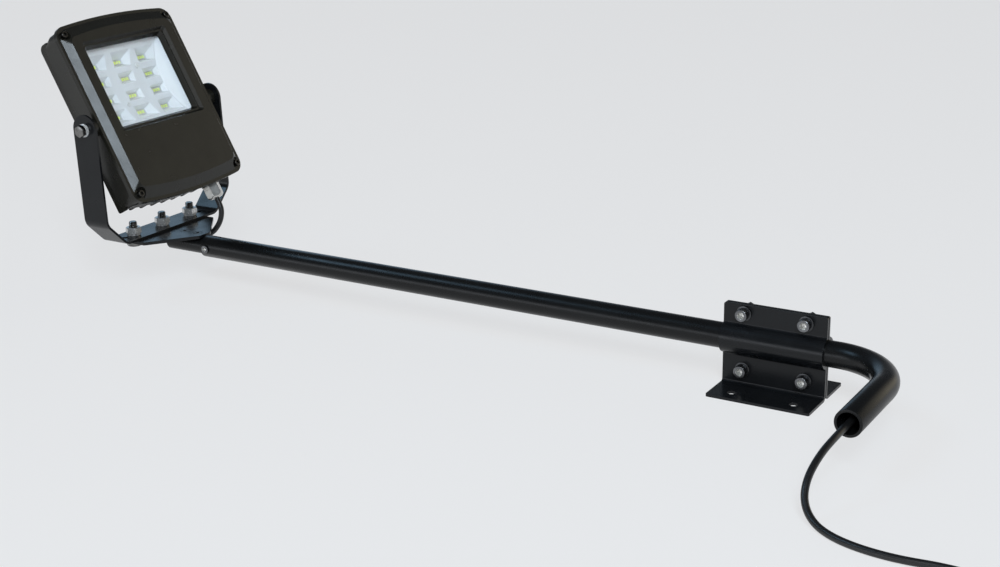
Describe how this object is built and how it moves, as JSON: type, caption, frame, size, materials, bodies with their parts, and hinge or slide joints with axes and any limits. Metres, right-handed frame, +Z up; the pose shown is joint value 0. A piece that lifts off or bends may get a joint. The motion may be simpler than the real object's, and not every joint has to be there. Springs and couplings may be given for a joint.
{
  "type": "sign light",
  "caption": "Floodlight with finned head on a tilting yoke, carried by a long round arm that slides in a pressed clamp bracket, with its flex leaving the bent tail.",
  "frame": {"origin": "centre of the four foot holes of the clamp, on the underside of its feet", "axes": "+Z up from the feet, X along the arm with the lamp at the -X end, the arm's tail turned to -Y"},
  "size_m": [1.3093, 0.5058, 0.3286],
  "materials": {
    "steel_black": "black satin powder coat",
    "cast_black": "black powder coat on die-cast aluminium",
    "zinc": "bright zinc plate",
    "nickel": "nickel plate",
    "flex_black": "smooth black sheath",
    "rubber_black": "matt moulded rubber",
    "seal_grey": "soft silicone",
    "glass": "clear toughened glass",
    "reflector_white": "white moulded reflector",
    "board_white": "white solder mask on an aluminium core",
    "led_yellow": "yellow phosphor",
    "driver_black": "potted case",
    "tie_black": "nylon",
    "core_grey": "core sheath",
    "copper": "bare stranded copper"
  },
  "bodies": {
    "clamp": {"clamp_front": "steel_black", "clamp_back": "steel_black", "clamp_screws": "zinc", "clamp_washers": "zinc", "clamp_nuts": "zinc"},
    "arm": {"arm_tube": "steel_black", "lock_screw": "zinc", "arm_lead": "flex_black", "flex_free": "flex_black", "flex_coil": "flex_black", "coil_ties": "tie_black", "flex_cores": "core_grey", "core_wires": "copper"},
    "carrier": {"spigot_tube": "steel_black", "mount_plate": "steel_black", "plate_screws": "zinc", "lead_grommet": "rubber_black", "spigot_lead": "flex_black", "yoke_bracket": "steel_black", "yoke_bolts": "zinc", "yoke_washers": "zinc", "yoke_nuts": "zinc", "lamp_lead": "flex_black"},
    "head": {"front_bezel": "cast_black", "bezel_screws": "zinc", "housing_gasket": "seal_grey", "window_glass": "glass", "glass_gasket": "rubber_black", "rear_housing": "cast_black", "pivot_bolts": "zinc", "pivot_washers": "zinc", "spring_washers": "zinc", "reflector": "reflector_white", "reflector_screws": "zinc", "led_board": "board_white", "led_chips": "led_yellow", "driver_box": "driver_black", "gland_body": "nickel", "gland_nut": "nickel", "gland_seal": "rubber_black", "head_lead": "flex_black"}
  },
  "joints": [
    {"name": "arm_slide", "type": "slide", "parent": "clamp", "child": "arm", "axis": [1, 0, 0], "range_m": [-0.008, 0.5]},
    {"name": "spigot_roll", "type": "hinge", "parent": "arm", "child": "carrier", "pos_m": [-0.747, 0, 0.0505], "axis": [1, 0, 0], "range_deg": [-90, 90]},
    {"name": "head_tilt", "type": "hinge", "parent": "carrier", "child": "head", "pos_m": [-0.823, 0, 0.21045], "axis": [0, 1, 0], "range_deg": [-12, 15], "deforming": ["lamp_lead"]}
  ]
}
